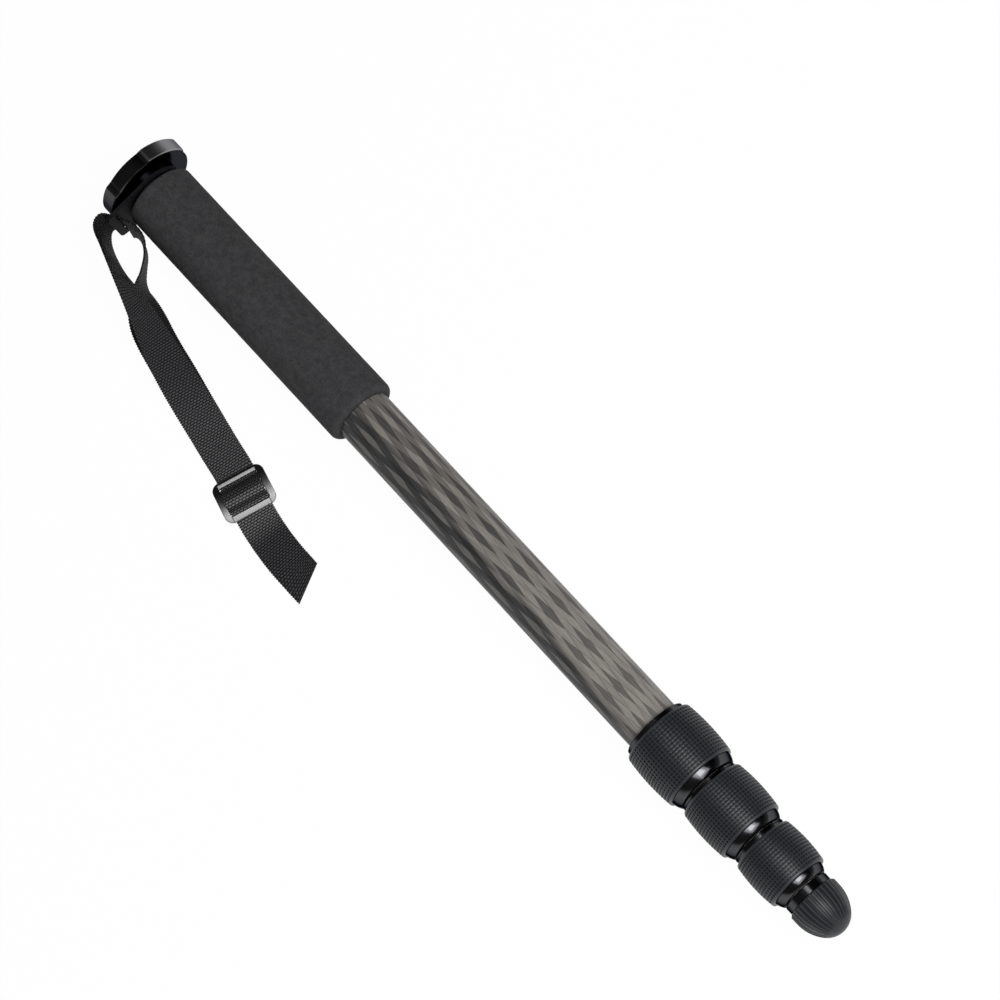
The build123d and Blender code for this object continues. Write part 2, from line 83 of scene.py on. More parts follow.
# Where the slider bends the front strand wider: from, to, and by how much at each edge
SLIDER_SPREADS = ((0.161, 0.171, 0.0009), (0.163, 0.180, 0.0006))

# Slider: its middle, its turn, and its entry bar measured from its middle; the entry bar's strip and the part
# towards TAIL_END are painted paler, a painted reflection
SLIDER_MIDDLE = (0.1505, -0.0679, 0.0)
SLIDER_TURN = math.radians(-15.0)
SLIDER_RAILS = (0.0104, 0.0100)
ENTRY_START = -0.0094
ENTRY_FULL = -0.0091
ENTRY_INNER = -0.0070
ENTRY_LAST_FULL = -0.0062
ENTRY_END = -0.0060
ENTRY_SLOPE = -0.5
SLIDER_ARCH = -13.0
TAIL_END = 0.0100

# Foam grip
GRIP_START = 0.0146
GRIP_END = 0.1695
GRIP_RADIUS = 0.01805
GRIP_BORE = 0.01405
GRIP_HEAD_ROUND = 0.0016
GRIP_END_ROUND = 0.0032
GRIP_RINGS = 120
GRIP_UNEVENNESS = 0.00005

# Rubber sleeves: start, end, radius at the middle, radius of the nut shell, rows of pits along
SLEEVES = (
    (0.3796, 0.4087, 0.0195, 0.0169, 16),
    (0.4159, 0.4427, 0.01795, 0.01535, 15),
    (0.4500, 0.4743, 0.0164, 0.0138, 13),
)
PITS_ROUND = 60
PIT_SHARE = 0.70
PIT_DEPTH = 0.00036
PIT_FLOOR_SHARE = 0.82
SADDLE_DEPTH = 0.00012
SLEEVE_BARREL = 0.00083
SLEEVE_LIP = 0.0010
LIP_DROP = 0.0010
LIP_CHAMFER = 0.0005
LIP_CORNER = (0.00015, 0.00018)
LIP_RISE = 0.00017
BED_DROP = 0.00095
SHELL_GAP = 0.00006
WELD_REACH = 0.00002

# Camera stud, with a thread of 16 turns to the inch
THREAD_PITCH = 0.0015875
THREAD_RADIUS = 0.0047625
THREAD_DEPTH = 0.00075
THREAD_FADE = 0.0006
THREAD_STEEPNESS = 1.25
THREAD_CREST = 0.12
STUD_TIP = -0.0078
TIP_CHAMFER = 0.0009
STUD_STEPS = 72
STUD_STATIONS = 78
STUD_STATION_STEP = 0.0001

# The stud below its thread: how far along and radius, round its neck, flange and tail
STUD_BELOW = (
    (0.0001, 0.00456), (0.0030, 0.00456), (0.0030, 0.0075), (0.0046, 0.0075),
    (0.0046, 0.003175), (0.0126, 0.003175),
)

# Table and light
TABLE_REACH = 12.0
TABLE_GLOW = 0.975


# Helpers for material and geometry trees
def put(tree, kind, sockets=None, **settings):
    """Add a node. A socket's value is a plain value or another node's output."""
    node = tree.nodes.new(kind)
    for key, value in settings.items():
        setattr(node, key, value)
    for key, value in (sockets or {}).items():
        if isinstance(value, bpy.types.NodeSocket):
            tree.links.new(value, node.inputs[key])
        else:
            node.inputs[key].default_value = value
    return node


def maths(tree, operation, first, second=0.0, third=None):
    """A math node's output."""
    sockets = {0: first, 1: second}
    if third is not None:
        sockets[2] = third
    return put(tree, "ShaderNodeMath", sockets, operation=operation).outputs[0]


def product(tree, first, second):
    """Two values multiplied."""
    return maths(tree, "MULTIPLY", first, second)


def from_middle(tree, value):
    """How far a value is from 0.5."""
    return maths(tree, "ABSOLUTE", maths(tree, "SUBTRACT", value, 0.5))


def graded(tree, value, low, high, low_result=0.0, high_result=1.0):
    """A value carried smoothly from one range to another."""
    sockets = {"Value": value, "From Min": low, "From Max": high, "To Min": low_result, "To Max": high_result}
    return put(tree, "ShaderNodeMapRange", sockets, interpolation_type="SMOOTHSTEP").outputs[0]


def within(tree, value, stretch):
    """1 inside a stretch and 0 outside it, with soft ends."""
    start, full, end, last_full = stretch
    return product(tree, graded(tree, value, start, full), graded(tree, value, end, last_full))


def blended(tree, share, first, second, way="MIX"):
    """Two colours mixed by a share."""
    node = put(tree, "ShaderNodeMix", data_type="RGBA", blend_type=way)
    for index, value in ((0, share), (6, first), (7, second)):
        if isinstance(value, bpy.types.NodeSocket):
            tree.links.new(value, node.inputs[index])
        elif index == 0:
            node.inputs[index].default_value = value
        else:
            node.inputs[index].default_value = tuple(value) + (1.0,)
    return node.outputs[2]


def mottle(tree, place, scale, detail=3.0, roughness=0.55):
    """Soft noise from 0 to 1."""
    sockets = {"Vector": place, "Scale": scale, "Detail": detail, "Roughness": roughness}
    return put(tree, "ShaderNodeTexNoise", sockets).outputs[0]


def stretched(tree, place, scale):
    """A place scaled differently along each direction."""
    return put(tree, "ShaderNodeMapping", {"Vector": place, "Scale": scale}).outputs[0]


def parted(tree, place):
    """The three parts of a place."""
    return put(tree, "ShaderNodeSeparateXYZ", {0: place}).outputs


def new_finish(name, **shader):
    """A material with its principled shader and a place whose X runs along the long axis."""
    finish = bpy.data.materials.new(name)
    finish.use_nodes = True
    tree = finish.node_tree
    tree.nodes.clear()
    surface = put(tree, "ShaderNodeBsdfPrincipled", shader)
    out = put(tree, "ShaderNodeOutputMaterial")
    tree.links.new(surface.outputs[0], out.inputs[0])
    coords = put(tree, "ShaderNodeTexCoord").outputs["Object"]
    place = put(tree, "ShaderNodeMapping", {"Vector": coords, "Rotation": (0, -FALL, 0)}).outputs[0]
    return finish, tree, surface, place


def relief(tree, surface, height, strength, distance):
    """Bump the shader's normal by a height."""
    bump = put(tree, "ShaderNodeBump", {"Height": height, "Strength": strength, "Distance": distance})
    tree.links.new(bump.outputs[0], surface.inputs["Normal"])


def round_the_axis(tree, place):
    """How far along, the distance from the axis and the angle round it, all from a place."""
    along, side, up = parted(tree, place)
    squares = maths(tree, "MULTIPLY_ADD", side, side, product(tree, up, up))
    return along, maths(tree, "SQRT", squares), maths(tree, "ARCTAN2", side, up)


# Finishes
def carbon_tube_finish():
    """Braided carbon under a clear coat: long dark and light diamonds in columns round the tube, and painted
    light that makes its +Y side paler.
    """
    finish, tree, surface, place = new_finish("braided_carbon_clear_coat", **{
        "Metallic": 0.0, "Specular IOR Level": 0.10,
        "Coat Weight": 0.22, "Coat Roughness": 0.05, "Coat IOR": 1.45,
    })
    along, _, angle = round_the_axis(tree, place)

    # Two sets of bundles cross, each a wave from 0 to 1
    wander = mottle(tree, stretched(tree, place, (70, 260, 260)), 1.0, 2.0)
    wavy = maths(tree, "MULTIPLY_ADD", wander, 0.22, -0.11)
    run = maths(tree, "MULTIPLY_ADD", along, 1 / CELL_LENGTH, -CELL_START / CELL_LENGTH)
    column = maths(tree, "MULTIPLY_ADD", angle, CELL_COLUMNS / math.tau, -CELL_TURN * CELL_COLUMNS / math.tau)
    half_column = maths(tree, "MULTIPLY_ADD", column, 0.5, wavy)
    first, second = (
        maths(tree, "PINGPONG", product(tree, maths(tree, way, run, half_column), 2.0), 1.0)
        for way in ("ADD", "SUBTRACT")
    )
    # The braid's pattern of diamonds is real; their dark and light tones are painted reflection, for how each
    # set of fibres catches the light
    dark = product(tree, graded(tree, first, 0.53, 0.47), graded(tree, second, 0.53, 0.47))
    light = product(tree, graded(tree, first, 0.47, 0.53), graded(tree, second, 0.47, 0.53))

    # Painted light: the bundles are painted paler on the +Y side of the tube, the paler side spreads along it
    # towards the foot, and random patches vary it
    patches = mottle(tree, stretched(tree, place, (18, 60, 60)), 1.0, 2.0)
    drift = maths(tree, "MULTIPLY_ADD", along, 3.4, -0.42)
    painted_light_round = maths(tree, "ADD", maths(tree, "SINE", angle), drift)
    tone = maths(tree, "ADD", painted_light_round, maths(tree, "MULTIPLY_ADD", patches, 0.5, -0.25))
    painted_lit_side = graded(tree, tone, -0.06, 0.40)
    pale = blended(tree, graded(tree, along, *PALE_STRETCH), (0.160, 0.150, 0.138), (0.302, 0.281, 0.256))
    painted_lit_dark_cell = blended(tree, graded(tree, along, *DARK_CELL_PALER_STRETCH), (0.080, 0.077, 0.073), (0.150, 0.142, 0.132))
    ground = blended(tree, painted_lit_side, (0.052, 0.052, 0.053), pale)
    dark_cell = blended(tree, painted_lit_side, (0.034, 0.034, 0.035), painted_lit_dark_cell)
    light_cell = blended(tree, painted_lit_side, (0.150, 0.143, 0.135), (0.280, 0.262, 0.238))
    cells = blended(tree, light, blended(tree, dark, ground, dark_cell), light_cell)
    fibres = mottle(tree, stretched(tree, place, (70, 2400, 2400)), 1.0, 4.0, 0.7)
    streaks = blended(tree, graded(tree, fibres, 0.35, 0.68), (0.72, 0.72, 0.72), (1.12, 1.11, 1.10))
    toned = blended(tree, 1.0, cells, streaks, "MULTIPLY")

    # Thin dark lines where one bundle passes over the next, drawn more strongly on the painted lit side
    seams = [graded(tree, from_middle(tree, wave), 0.045, 0.012) for wave in (first, second)]
    seam = product(tree, maths(tree, "MAXIMUM", *seams), 0.55)
    lined = blended(tree, product(tree, seam, painted_lit_side), toned, (0.030, 0.029, 0.028))
    tree.links.new(lined, surface.inputs["Base Color"])
    tree.links.new(graded(tree, fibres, 0.2, 0.8, 0.42, 0.6), surface.inputs["Roughness"])
    relief(tree, surface, fibres, 0.10, 0.00006)
    return finish


def gloss_black_finish():
    """Black anodised metal, glossy, with satin lands on the rim of the camera platform, painted paler towards
    their +Y side as a painted reflection.
    """
    finish, tree, surface, place = new_finish("black_anodised_metal", **{
        "Metallic": 1.0, "Specular Tint": (0.22, 0.22, 0.23, 1.0),
    })
    along, radius, angle = round_the_axis(tree, place)
    rim_land = product(tree, graded(tree, radius, *RIM_RADIUS), graded(tree, along, *RIM_END))
    smudge = mottle(tree, place, 120.0, 4.0)
    base = blended(tree, smudge, (0.064, 0.065, 0.069), (0.082, 0.083, 0.088))
    # Painted reflection: the lands are painted paler towards the +Y side
    painted_lit_land_side = graded(tree, maths(tree, "SINE", angle), -0.7, 0.1)
    land = blended(tree, painted_lit_land_side, (0.078, 0.078, 0.081), (0.275, 0.275, 0.282))
    tree.links.new(blended(tree, rim_land, base, land), surface.inputs["Base Color"])
    polish = graded(tree, smudge, 0.3, 0.8, 0.13, 0.20)
    tree.links.new(maths(tree, "MULTIPLY_ADD", rim_land, 0.16, polish), surface.inputs["Roughness"])
    lathe_marks = mottle(tree, stretched(tree, place, (9000, 12, 12)), 1.0, 2.0)
    relief(tree, surface, lathe_marks, 0.05, 0.00002)
    return finish


def painted_shade_in_pits(tree, surface, place, colour, gloss):
    """Painted shade: darker and duller where the mesh's own attribute marks a pit."""
    hollow = put(tree, "ShaderNodeAttribute", attribute_name="hollow").outputs["Fac"]
    tree.links.new(graded(tree, hollow, 0.0, 1.0, gloss, 0.20), surface.inputs["Specular IOR Level"])
    return blended(tree, hollow, colour, (0.0135, 0.015, 0.0175))


def painted_flute_shade_and_highlight(tree, surface, place, colour, gloss):
    """Painted shade in the foot's flutes and a painted highlight on the ridges between them."""
    along, _, angle = round_the_axis(tree, place)
    turn = maths(tree, "FRACT", maths(tree, "MULTIPLY_ADD", angle, FLUTES / math.tau, 0.5))
    off_middle = from_middle(tree, turn)
    reached = graded(tree, along, *FLUTE_END)
    groove = product(tree, product(tree, graded(tree, off_middle, 0.40, 0.15), reached), 0.6)
    painted_ridge_highlight = product(tree, product(tree, graded(tree, off_middle, 0.41, 0.47), reached), 0.6)
    grooved = blended(tree, groove, colour, (0.0060, 0.0065, 0.0075))
    return blended(tree, painted_ridge_highlight, grooved, (0.072, 0.077, 0.084))


def soft_finish(name, low, high, speckle, rough, pores, depth, gloss=0.35, cloud=60.0, shading=None):
    """Rubber, foam or moulded plastic with a fine grain of its own scale."""
    finish, tree, surface, place = new_finish(name, **{"Metallic": 0.0, "Specular IOR Level": gloss})
    grain = mottle(tree, place, speckle, 4.0, 0.65)
    clouds = product(tree, mottle(tree, place, cloud, 2.0), 0.4)
    mixed = graded(tree, maths(tree, "MULTIPLY_ADD", grain, 0.6, clouds), 0.3, 0.7)
    colour = blended(tree, mixed, low, high)
    if shading:
        colour = shading(tree, surface, place, colour, gloss)
    tree.links.new(colour, surface.inputs["Base Color"])
    tree.links.new(graded(tree, grain, 0.25, 0.75, *rough), surface.inputs["Roughness"])
    cells = put(tree, "ShaderNodeTexVoronoi", {"Vector": place, "Scale": pores}).outputs[0]
    relief(tree, surface, maths(tree, "MULTIPLY_ADD", grain, 0.5, product(tree, cells, 0.5)), 0.45, depth)
    return finish


def steel_finish():
    """Plated steel with brushed streaks and lighter, worn patches."""
    finish, tree, surface, place = new_finish("plated_steel", **{"Metallic": 1.0, "Specular IOR Level": 0.5})
    streaks = mottle(tree, stretched(tree, place, (6000, 40, 40)), 1.0, 3.0)
    wear = product(tree, mottle(tree, place, 240.0, 4.0), 0.4)
    mixed = maths(tree, "MULTIPLY_ADD", streaks, 0.6, wear)
    base = blended(tree, mixed, (0.36, 0.36, 0.37), (0.56, 0.56, 0.57))
    tree.links.new(base, surface.inputs["Base Color"])
    tree.links.new(graded(tree, mixed, 0.3, 0.7, 0.22, 0.36), surface.inputs["Roughness"])
    relief(tree, surface, streaks, 0.15, 0.00003)
    return finish


def webbing_finish(name, shaded_until):
    """Black webbing: weft dashes in brick rows, read from the strap's own UV map in metres."""
    finish, tree, surface, place = new_finish(name, **{"Metallic": 0.0, "Specular IOR Level": 0.15})
    run, across, _ = parted(tree, put(tree, "ShaderNodeUVMap", uv_map="weave").outputs[0])
    rows = product(tree, run, 1 / WEFT_PITCH)
    shift = product(tree, maths(tree, "MODULO", maths(tree, "FLOOR", rows), 2.0), 0.5)
    dashes = maths(tree, "MULTIPLY_ADD", across, 1 / DASH_LENGTH, shift)
    off_row, off_dash = (from_middle(tree, maths(tree, "FRACT", value)) for value in (rows, dashes))
    dome = product(tree, graded(tree, off_row, 0.5, 0.12), graded(tree, off_dash, 0.5, 0.3))
    fibres = mottle(tree, stretched(tree, place, (4200, 4200, 4200)), 1.0, 3.0, 0.7)

    # Painted shade darkens the threads up to shaded_until, and painted highlight makes them paler beside the
    # slider and in its window
    out_of_shade = graded(tree, run, shaded_until, shaded_until + SHADE_EDGE)
    thread = blended(tree, out_of_shade, (0.014, 0.014, 0.016), (0.048, 0.048, 0.052))
    thread = blended(tree, within(tree, run, BEFORE_SLIDER), thread, (0.110, 0.110, 0.115))
    # Painted highlight past the slider and in its window
    worn = maths(tree, "MAXIMUM", within(tree, run, PAST_SLIDER), within(tree, run, IN_SLIDER))
    thread = blended(tree, worn, thread, (0.170, 0.170, 0.174))
    # Painted shade: dark between the dashes, in the weave's grooves
    base = blended(tree, dome, (0.0025, 0.0025, 0.0032), thread)
    # Painted glints on the tops of the dashes
    glints = product(tree, product(tree, graded(tree, fibres, 0.5, 0.72), dome), 0.6)
    base = blended(tree, glints, base, (0.170, 0.170, 0.174))
    tree.links.new(base, surface.inputs["Base Color"])
    tree.links.new(graded(tree, fibres, 0.2, 0.8, 0.55, 0.8), surface.inputs["Roughness"])
    height = maths(tree, "MULTIPLY_ADD", fibres, 0.2, product(tree, dome, 0.8))
    relief(tree, surface, height, 1.0, 0.00035)
    return finish


def slider_finish():
    """Satin gunmetal with an arched upper side, and a painted reflection that makes it paler towards the
    strap's tail and on the entry bar.
    """
    finish, tree, surface, _ = new_finish("satin_gunmetal", **{"Metallic": 1.0})
    local = put(tree, "ShaderNodeMapping", {
        "Vector": put(tree, "ShaderNodeTexCoord").outputs["Object"], "Location": SLIDER_MIDDLE,
        "Rotation": (0.0, 0.0, SLIDER_TURN),
    }, vector_type="TEXTURE").outputs[0]
    lengthwise, crosswise, _ = parted(tree, local)
    streaks = mottle(tree, stretched(tree, local, (60, 300, 60)), 1.0, 2.0)
    between_rails = graded(tree, maths(tree, "ABSOLUTE", crosswise), *SLIDER_RAILS)
    # Painted reflection: paler on the entry bar between the rails and towards the tail
    strip = within(tree, lengthwise, (ENTRY_START, ENTRY_FULL, ENTRY_END, ENTRY_LAST_FULL))
    tailward = graded(tree, lengthwise, ENTRY_END, TAIL_END)
    painted_lit_share = maths(tree, "MAXIMUM", tailward, product(tree, strip, between_rails))
    metal = blended(tree, streaks, (0.29, 0.29, 0.29), (0.34, 0.34, 0.34))
    tree.links.new(blended(tree, painted_lit_share, (0.050, 0.050, 0.053), metal), surface.inputs["Base Color"])
    tree.links.new(graded(tree, streaks, 0.3, 0.7, 0.40, 0.46), surface.inputs["Roughness"])
    arch = product(tree, product(tree, lengthwise, lengthwise), SLIDER_ARCH)
    on_bar = maths(tree, "MAXIMUM", maths(tree, "MINIMUM", lengthwise, ENTRY_INNER), ENTRY_START)
    slope = product(tree, maths(tree, "SUBTRACT", on_bar, ENTRY_START), between_rails)
    relief(tree, surface, maths(tree, "ADD", arch, product(tree, slope, ENTRY_SLOPE)), 1.0, 1.0)
    return finish


carbon = carbon_tube_finish()
gloss_black = gloss_black_finish()
webbing_front = webbing_finish("woven_black_webbing", 0.030)
webbing_back = webbing_finish("woven_black_webbing_shaded", 0.150)
foam = soft_finish(
    "closed_cell_foam", (0.033, 0.033, 0.035), (0.064, 0.064, 0.067),
    speckle=1000, rough=(0.74, 0.92), pores=1500, depth=0.00020, gloss=0.12, cloud=300.0)
lock_rubber = soft_finish(
    "lock_rubber", (0.019, 0.021, 0.025), (0.033, 0.035, 0.040),
    speckle=1800, rough=(0.32, 0.44), pores=3500, depth=0.00003, gloss=0.42, shading=painted_shade_in_pits)
foot_rubber = soft_finish(
    "foot_rubber", (0.017, 0.019, 0.022), (0.033, 0.035, 0.039),
    speckle=1500, rough=(0.36, 0.50), pores=3000, depth=0.00004, gloss=0.32, shading=painted_flute_shade_and_highlight)
pad_rubber = soft_finish(
    "pad_rubber", (0.013, 0.013, 0.014), (0.028, 0.028, 0.029),
    speckle=1600, rough=(0.6, 0.8), pores=2600, depth=0.00008)
seal_rubber = soft_finish(
    "seal_rubber", (0.012, 0.012, 0.012), (0.024, 0.024, 0.024),
    speckle=1800, rough=(0.5, 0.7), pores=3000, depth=0.00004)
moulded = soft_finish(
    "moulded_plastic", (0.013, 0.013, 0.013), (0.026, 0.026, 0.026),
    speckle=900, rough=(0.4, 0.6), pores=1600, depth=0.00004)
ring_black = soft_finish(
    "satin_black_enamel", (0.007, 0.007, 0.008), (0.016, 0.016, 0.018),
    speckle=900, rough=(0.40, 0.55), pores=2000, depth=0.00003, gloss=0.03)
steel = steel_finish()
gunmetal = slider_finish()


# Helpers for meshes
def ring_mesh(name, rings, finish, looped=False, smooth_ends=True, weave=None):
    """A piece from rings of points, each joined to the next. Its ends are closed, or joined when looped."""
    mesh = bpy.data.meshes.new(name)
    build = bmesh.new()
    rows = [[build.verts.new(point) for point in ring] for ring in rings]
    for low, high in zip(rows, rows[1:] + rows[:1] if looped else rows[1:]):
        for k in range(len(low)):
            after = (k + 1) % len(low)
            build.faces.new((low[k], high[k], high[after], low[after]))
    if not looped:
        build.faces.new(rows[0])
        build.faces.new(list(reversed(rows[-1])))
    for face in build.faces:
        face.smooth = smooth_ends or len(face.verts) == 4
    if weave:
        layer = build.loops.layers.uv.new("weave")
        found = {vertex: uv for row, uvs in zip(rows, weave) for vertex, uv in zip(row, uvs)}
        for face in build.faces:
            for loop in face.loops:
                loop[layer].uv = found[loop.vert]
    bmesh.ops.recalc_face_normals(build, faces=build.faces)
    build.to_mesh(mesh)
    build.free()
    mesh.materials.append(finish)
    piece = bpy.data.objects.new(name, mesh)
    scene.collection.objects.link(piece)
    return piece


def axis_point(along, radius, angle):
    """A point round the long axis, before the axis is tipped."""
    return Vector((along, radius * math.sin(angle), radius * math.cos(angle)))


def lathed(name, profile, steps, finish, swell=0.0, swell_scale=0.0):
    """A closed profile of (along, radius) points turned round the long axis. Swell makes it uneven."""
    rings = []
    for along, radius in profile:
        ring = []
        for k in range(steps):
            angle = math.tau * k / steps
            place = axis_point(along, radius, angle)
            place += axis_point(0.0, 1.0, angle) * (swell * noise.noise(place * swell_scale))
            ring.append(along_axis @ place)
        rings.append(ring)
    return ring_mesh(name, rings, finish, looped=True)


def rounded_corner(along, radius, size, start_angle, steps):
    """Points on a quarter round about a centre, from an angle on by 90 degrees."""
    found = []
    for k in range(steps + 1):
        angle = math.radians(start_angle + 90 * k / steps)
        found.append((along + size * math.cos(angle), radius + size * math.sin(angle)))
    return found


def line_points(name, points):
    """The points of a smooth NURBS line, read from its mesh."""
    data = bpy.data.curves.new(name, "CURVE")
    data.dimensions = "3D"
    data.resolution_u = 40
    spline = data.splines.new("NURBS")
    spline.points.add(len(points) - 1)
    for place, point in zip(spline.points, points):
        place.co = tuple(point) + (1.0,)
    spline.order_u = 3
    spline.use_endpoint_u = True
    curve = bpy.data.objects.new(name, data)
    mesh = bpy.data.meshes.new_from_object(curve)
    found = [vertex.co.copy() for vertex in mesh.vertices]
    bpy.data.objects.remove(curve)
    bpy.data.meshes.remove(mesh)
    return found


# Wrist strap. Route points: x, y, rise above the surface, and lean of the webbing in degrees
front_route = [
    (0.01120, -0.02220, 0.02400, 0), (0.00980, -0.02235, 0.02400, 0), (0.00925, -0.02340, 0.02400, 0),
    (0.00900, -0.02460, 0.02400, 1), (0.00720, -0.02630, 0.02400, 5), (0.00600, -0.02860, 0.02410, 8),
    (0.00730, -0.03190, 0.02430, 9), (0.01200, -0.03500, 0.02490, 6), (0.02080, -0.03720, 0.02740, 3),
    (0.03230, -0.03960, 0.03200, 8), (0.04390, -0.04220, 0.03210, 18), (0.05240, -0.04490, 0.02750, 27),
    (0.06220, -0.04840, 0.01900, 41), (0.07520, -0.05200, 0.01200, 58), (0.08900, -0.05540, 0.00630, 74),
    (0.10200, -0.05810, 0.00320, 86), (0.11450, -0.06040, 0.00220, 90), (0.12600, -0.06260, 0.00195, 90),
    (0.13698, -0.06428, 0.00195, 90), (0.14123, -0.06542, 0.00193, 90), (0.14374, -0.06609, 0.00200, 90),
    (0.14509, -0.06645, 0.00275, 90), (0.14635, -0.06679, 0.00410, 90), (0.14760, -0.06712, 0.00555, 90),
    (0.14915, -0.06754, 0.00655, 90), (0.15069, -0.06795, 0.00665, 90), (0.15234, -0.06839, 0.00635, 90),
    (0.15393, -0.06882, 0.00525, 90), (0.15494, -0.06909, 0.00340, 90), (0.15610, -0.06940, 0.00175, 90),
    (0.15755, -0.06979, 0.00090, 90), (0.16016, -0.07049, 0.00070, 90), (0.16900, -0.07230, 0.00070, 90),
    (0.18100, -0.07380, 0.00070, 90), (0.19300, -0.07440, 0.00070, 90), (0.20650, -0.07420, 0.00070, 90),
]
back_route = [
    (0.01120, -0.02220, 0.02400, 0), (0.01340, -0.02215, 0.02400, 0), (0.01640, -0.02160, 0.02380, -7),
    (0.01960, -0.02090, 0.02330, -14), (0.02340, -0.02080, 0.02180, -17), (0.02740, -0.02290, 0.01880, -15),
    (0.03120, -0.02700, 0.01510, -13), (0.03400, -0.03200, 0.01240, -12), (0.03690, -0.03590, 0.01140, -4),
    (0.04190, -0.04060, 0.01030, 20), (0.04940, -0.04540, 0.00700, 52), (0.05760, -0.04880, 0.00280, 79),
    (0.06800, -0.05140, 0.00080, 90), (0.08400, -0.05420, 0.00065, 90), (0.09900, -0.05740, 0.00065, 90),
    (0.11350, -0.06020, 0.00065, 90), (0.12600, -0.06260, 0.00065, 90), (0.13698, -0.06428, 0.00065, 90),
    (0.14277, -0.06583, 0.00065, 90), (0.14664, -0.06686, 0.00075, 90), (0.14992, -0.06774, 0.00115, 90),
    (0.15214, -0.06834, 0.00175, 90), (0.15330, -0.06865, 0.00300, 90), (0.15272, -0.06850, 0.00440, 90),
    (0.15127, -0.06811, 0.00520, 90), (0.14934, -0.06759, 0.00515, 90), (0.14809, -0.06725, 0.00430, 90),
    (0.14712, -0.06699, 0.00305, 90),
]


def width_directions(route, start):
    """The route's points, and the webbing's width direction at each, as the CAD solid has it."""
    places = [Vector((x, y, SURFACE + rise)) for x, y, rise, lean in route]
    directions = []
    for k, (x, y, rise, lean) in enumerate(route):
        if k == 0:
            tangent = start
        else:
            tangent = (places[min(k + 1, len(places) - 1)] - places[k - 1]).normalized()
        upward = (Vector((0, 0, 1)) - tangent * tangent.z).normalized()
        turn = math.radians(lean)
        across = upward * math.cos(turn) + tangent.cross(upward) * math.sin(turn)
        if directions and across.dot(directions[-1]) < 0:
            across = -across
        directions.append(across)
    return places, directions


def strap_stations(name, route, start):
    """Close, even points on the strap's middle line, each with its width direction."""
    places, directions = width_directions(route, start)
    line = line_points(name + "_line", places)
    widths = line_points(name + "_widths", directions)
    stations = [(line[0], widths[0])]
    for point, width in zip(line[1:-1], widths[1:-1]):
        if (point - stations[-1][0]).length >= STATION_STEP:
            stations.append((point, width))
    stations.append((line[-1], widths[-1]))
    return stations, line


def webbing_profile():
    """Shares of the half width and half thickness round the strap, whose selvedges are thinner."""
    across = [-1.0 + 2.0 * k / PROFILE_STEPS for k in range(PROFILE_STEPS + 1)]
    top = [(share, 1.0 if abs(share) < SELVEDGE_SHARE else SELVEDGE_THIN) for share in across]
    return top + [(share, -thick) for share, thick in reversed(top)]


def slider_spread(run):
    """How much wider the front strand lies where the slider bends it."""
    for start, end, spread in SLIDER_SPREADS:
        if start < run < end:
            return spread
    return 0.0


def cut_slide(reach, k, count):
    """How far the slanted cut moves a point along the strap, growing over the last stations."""
    share = max(0.0, 1.0 - (count - 1 - k) / CUT_STATIONS)
    return (reach * math.tan(CUT_ANGLE) - CUT_BACK) * share


def strap_ribbon(name, route, start, cut, webbing):
    """A woven strap along its route, with weft ribs and a serrated selvedge."""
    stations, line = strap_stations(name, route, start)
    count = len(stations)
    rings = []
    weave = []
    run = 0.0
    for k, (point, width) in enumerate(stations):
        before = stations[max(k - 1, 0)][0]
        after = stations[min(k + 1, count - 1)][0]
        tangent = (after - before).normalized()
        across = (width - tangent * width.dot(tangent)).normalized()
        face = tangent.cross(across)
        if k:
            run += (point - before).length
        rib = math.cos(math.tau * run / WEFT_PITCH)
        spread = slider_spread(run) if cut else 0.0
        ring = []
        uvs = []
        for share, thick in webbing_profile():
            edge = SELVEDGE_TOOTH * rib * abs(share) ** 8
            reach = share * (STRAP_WIDTH / 2 - SELVEDGE_TOOTH + edge + spread)
            lift = thick * (STRAP_THICKNESS / 2 - RIB_HEIGHT + RIB_HEIGHT * rib)
            slide = cut_slide(reach, k, count) if cut else 0.0
            ring.append(point + across * reach + face * lift + tangent * slide)
            uvs.append((run, reach))
        rings.append(ring)
        weave.append(uvs)
    return ring_mesh(name, rings, webbing, weave=weave), line


front_strap, front_line = strap_ribbon("strap_front_webbing", front_route, -AXIS, True, webbing_front)
back_strap, back_line = strap_ribbon("strap_back_webbing", back_route, AXIS, False, webbing_back)
for strap, node in ((front_strap, "strap_front_strand"), (back_strap, "strap_back_strand")):
    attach(strap, "wrist_strap")
    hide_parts(node)


# Foam grip
def foam_grip():
    """A thick soft tube, very slightly uneven, with a round at each end."""
    head = rounded_corner(GRIP_START + GRIP_HEAD_ROUND, GRIP_RADIUS - GRIP_HEAD_ROUND, GRIP_HEAD_ROUND, 90, 8)
    tail = rounded_corner(GRIP_END - GRIP_END_ROUND, GRIP_RADIUS - GRIP_END_ROUND, GRIP_END_ROUND, 0, 12)
    barrel_start = GRIP_START + GRIP_HEAD_ROUND
    barrel_length = GRIP_END - GRIP_END_ROUND - barrel_start
    barrel = [(barrel_start + barrel_length * k / GRIP_RINGS, GRIP_RADIUS) for k in range(1, GRIP_RINGS)]
    profile = [(GRIP_START, GRIP_BORE)] + head[::-1] + barrel + tail[::-1] + [(GRIP_END, GRIP_BORE)]
    grip = lathed("foam_grip_tube", profile, 144, foam, swell=GRIP_UNEVENNESS, swell_scale=260.0)
    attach(grip, "upper_section")
    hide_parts("foam_grip")


foam_grip()


